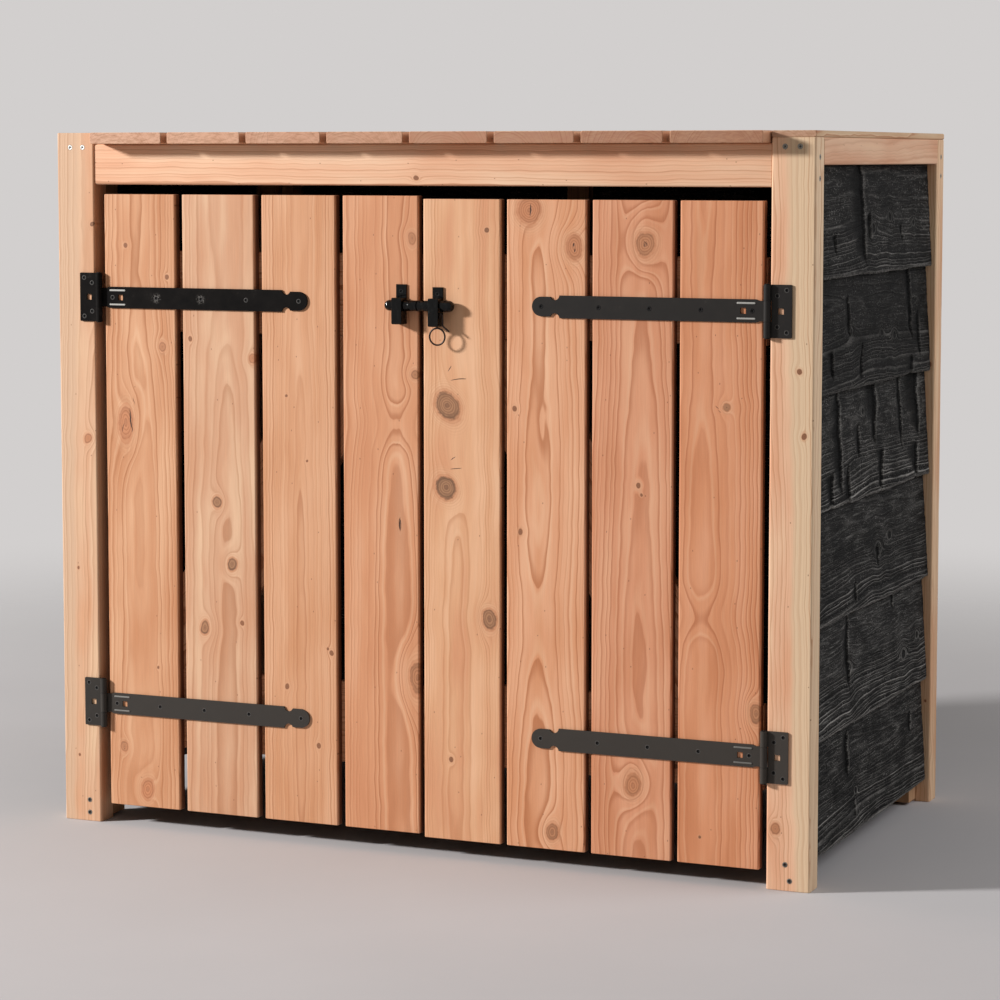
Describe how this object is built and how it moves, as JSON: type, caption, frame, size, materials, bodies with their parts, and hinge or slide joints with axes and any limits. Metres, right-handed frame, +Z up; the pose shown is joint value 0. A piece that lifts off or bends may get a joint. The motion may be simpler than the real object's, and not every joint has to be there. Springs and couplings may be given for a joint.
{
  "type": "wheelie bin store",
  "caption": "Timber store for wheeled refuse bins: flat boarded roof, lapped black sides, and ledged and braced double doors on T-hinges with a sliding latch.",
  "frame": {"origin": "middle of the whole store's footprint, roof overhang included, on the ground", "axes": "+X along the front towards the post that the right door hangs on, +Y from the doors to the back, +Z up"},
  "size_m": [1.42, 0.837, 1.25],
  "materials": {
    "frame_timber": "planed softwood, oiled",
    "roof_timber": "planed softwood, oiled",
    "door_timber": "planed softwood, oiled",
    "batten_timber": "sawn softwood",
    "black_cladding": "rough sawn, black stained",
    "hinge_steel": "black powder coat",
    "pin_steel": "black powder coat",
    "latch_steel": "glossy black enamel",
    "clip_wire": "dark plated wire",
    "black_screws": "black",
    "zinc_screws": "bright zinc"
  },
  "bodies": {
    "carcass": {"front_post_left": "frame_timber", "front_post_right": "frame_timber", "back_post_left": "frame_timber", "back_post_right": "frame_timber", "lintel": "frame_timber", "back_top_rail": "frame_timber", "left_top_rail": "frame_timber", "right_top_rail": "frame_timber", "left_battens": "batten_timber", "right_battens": "batten_timber", "back_battens": "batten_timber", "roof_board_1": "roof_timber", "roof_board_2": "roof_timber", "roof_board_3": "roof_timber", "roof_board_4": "roof_timber", "roof_board_5": "roof_timber", "roof_board_6": "roof_timber", "roof_board_7": "roof_timber", "roof_board_8": "roof_timber", "left_cover_strip": "roof_timber", "right_cover_strip": "roof_timber", "right_cladding_board_1": "black_cladding", "right_cladding_board_2": "black_cladding", "right_cladding_board_3": "black_cladding", "right_cladding_board_4": "black_cladding", "right_cladding_board_5": "black_cladding", "right_cladding_board_6": "black_cladding", "left_cladding": "black_cladding", "back_cladding": "black_cladding", "left_door_lower_hinge_plate": "hinge_steel", "left_door_upper_hinge_plate": "hinge_steel", "right_door_lower_hinge_plate": "hinge_steel", "right_door_upper_hinge_plate": "hinge_steel", "hinge_pins": "pin_steel", "hinge_plate_screws": "black_screws", "carcass_screws": "zinc_screws"},
    "left_door": {"left_door_board_1": "door_timber", "left_door_board_2": "door_timber", "left_door_board_3": "door_timber", "left_door_board_4": "door_timber", "left_door_lower_ledge": "door_timber", "left_door_upper_ledge": "door_timber", "left_door_brace": "door_timber", "left_door_lower_strap": "hinge_steel", "left_door_upper_strap": "hinge_steel", "left_door_screws": "black_screws", "latch_keeper": "latch_steel"},
    "right_door": {"right_door_board_1": "door_timber", "right_door_board_2": "door_timber", "right_door_board_3": "door_timber", "right_door_board_4": "door_timber", "right_door_lower_ledge": "door_timber", "right_door_upper_ledge": "door_timber", "right_door_brace": "door_timber", "right_door_lower_strap": "hinge_steel", "right_door_upper_strap": "hinge_steel", "right_door_screws": "black_screws", "latch_housing": "latch_steel"},
    "bolt": {"latch_bolt": "latch_steel"},
    "clip": {"ring_clip": "clip_wire"}
  },
  "joints": [
    {"name": "left_door_hinge", "type": "hinge", "parent": "carcass", "child": "left_door", "pos_m": [-0.6225, -0.3875, 0.59], "axis": [0, 0, -1], "range_deg": [0, 170]},
    {"name": "right_door_hinge", "type": "hinge", "parent": "carcass", "child": "right_door", "pos_m": [0.6305, -0.3875, 0.59], "axis": [0, 0, 1], "range_deg": [0, 170]},
    {"name": "bolt_slide", "type": "slide", "parent": "right_door", "child": "bolt", "axis": [-1, 0, 0], "range_m": [0, 0.016]},
    {"name": "clip_slide", "type": "slide", "parent": "right_door", "child": "clip", "axis": [0, 0, -1], "range_m": [0, 0.014]}
  ]
}
